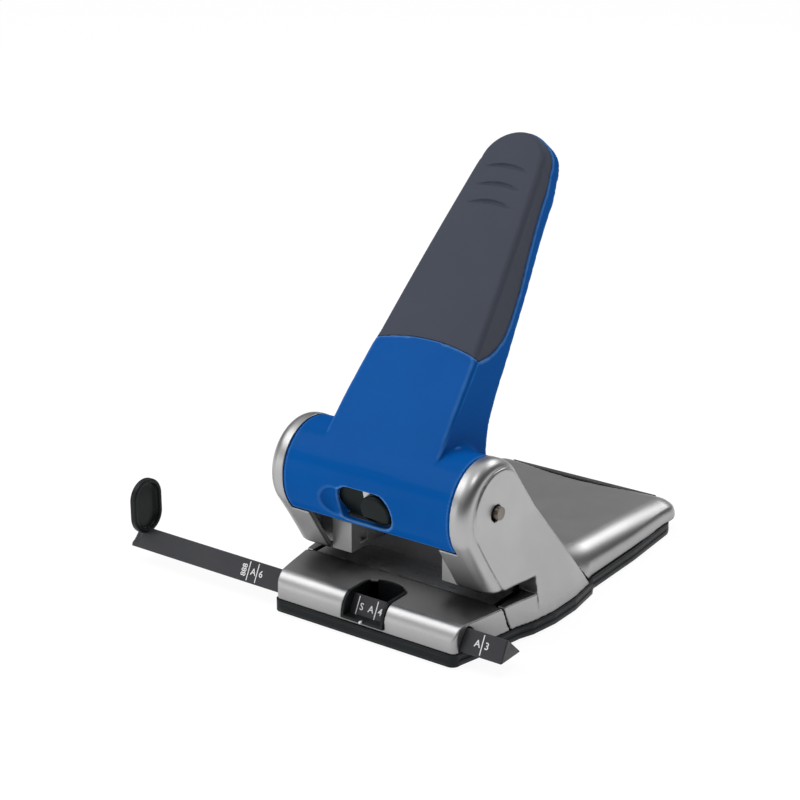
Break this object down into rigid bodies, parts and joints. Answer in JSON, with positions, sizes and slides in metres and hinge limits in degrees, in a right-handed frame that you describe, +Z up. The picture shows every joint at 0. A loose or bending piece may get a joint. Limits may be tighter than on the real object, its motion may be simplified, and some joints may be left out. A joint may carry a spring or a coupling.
{
  "type": "hole punch",
  "caption": "Heavy-duty desk paper punch with a long raised lever, sliding edge guide, lock knob and chip drawer.",
  "frame": {"origin": "on the surface that the feet stand on, midway between the two punch pins", "axes": "+Z up, +Y to the rear, away from the paper, +X to the right; the pins are on the X axis"},
  "size_m": [0.2325, 0.2162, 0.2265],
  "materials": {
    "black_tray": "fine moulded texture",
    "rubber": "matte",
    "silver_paint": "satin metallic silver lacquer",
    "frame_steel": "zinc-plated sheet steel",
    "tool_steel": "ground tool steel",
    "dark_steel": "phosphated spring steel",
    "blue_paint": "gloss blue lacquer",
    "grip_rubber": "soft-touch satin",
    "black_plastic": "satin moulded",
    "rail_grey": "satin moulded with white print",
    "brass": "turned",
    "white_mark": "matte white"
  },
  "bodies": {
    "base": {"base_tray": "black_tray", "rubber_feet": "rubber", "tray_screws": "dark_steel", "main_frame": "frame_steel", "die_plate": "frame_steel", "frame_screws": "dark_steel", "front_cover": "silver_paint", "window_bezel": "black_plastic", "index_pointer": "white_mark", "rail_spring": "brass", "paper_stop_wall": "frame_steel", "guide_block_left": "silver_paint", "guide_block_right": "silver_paint", "cheek_left": "silver_paint", "cheek_right": "silver_paint", "rear_cover": "silver_paint", "rear_cover_screws": "dark_steel", "pivot_shaft": "tool_steel", "pivot_clips": "dark_steel", "spacer_washers": "brass", "return_spring_left": "dark_steel", "return_spring_right": "dark_steel"},
    "lever": {"handle_shell": "blue_paint", "grip_pad": "grip_rubber", "handle_liner": "black_plastic", "end_plate_left": "frame_steel", "end_plate_right": "frame_steel", "pivot_bushes": "brass", "press_bar": "tool_steel", "liner_screws": "dark_steel", "lock_plate": "frame_steel"},
    "lock": {"lock_knob": "black_plastic"},
    "pin_left": {"punch_pin_left": "tool_steel", "pin_collar_left": "dark_steel"},
    "pin_right": {"punch_pin_right": "tool_steel", "pin_collar_right": "dark_steel"},
    "edge_guide": {"guide_rail": "rail_grey", "paper_stop": "black_plastic"},
    "drawer": {"chip_drawer": "black_tray"}
  },
  "joints": [
    {"name": "lever_hinge", "type": "hinge", "parent": "base", "child": "lever", "pos_m": [0, -0.0172, 0.0728], "axis": [-1, 0, 0], "range_deg": [0, 39], "stiffness_Nm_per_rad": 1.2, "springref_deg": -45.84},
    {"name": "pin_left_slide", "type": "slide", "parent": "base", "child": "pin_left", "axis": [0, 0, -1], "range_m": [0, 0.012], "deforming": ["return_spring_left"]},
    {"name": "pin_right_slide", "type": "slide", "parent": "base", "child": "pin_right", "axis": [0, 0, -1], "range_m": [0, 0.012], "deforming": ["return_spring_right"]},
    {"name": "edge_guide_slide", "type": "slide", "parent": "base", "child": "edge_guide", "axis": [1, 0, 0], "range_m": [-0.065, 0.077]},
    {"name": "lock_slide", "type": "slide", "parent": "lever", "child": "lock", "axis": [1, 0, 0], "range_m": [-0.0104, 0]},
    {"name": "drawer_slide", "type": "slide", "parent": "base", "child": "drawer", "axis": [0, 1, 0], "range_m": [0, 0.11]}
  ],
  "couplings": [
    {"joint": "pin_left_slide", "follows": "lever_hinge", "m_per_rad": 0.017629},
    {"joint": "pin_right_slide", "follows": "lever_hinge", "m_per_rad": 0.017629}
  ]
}
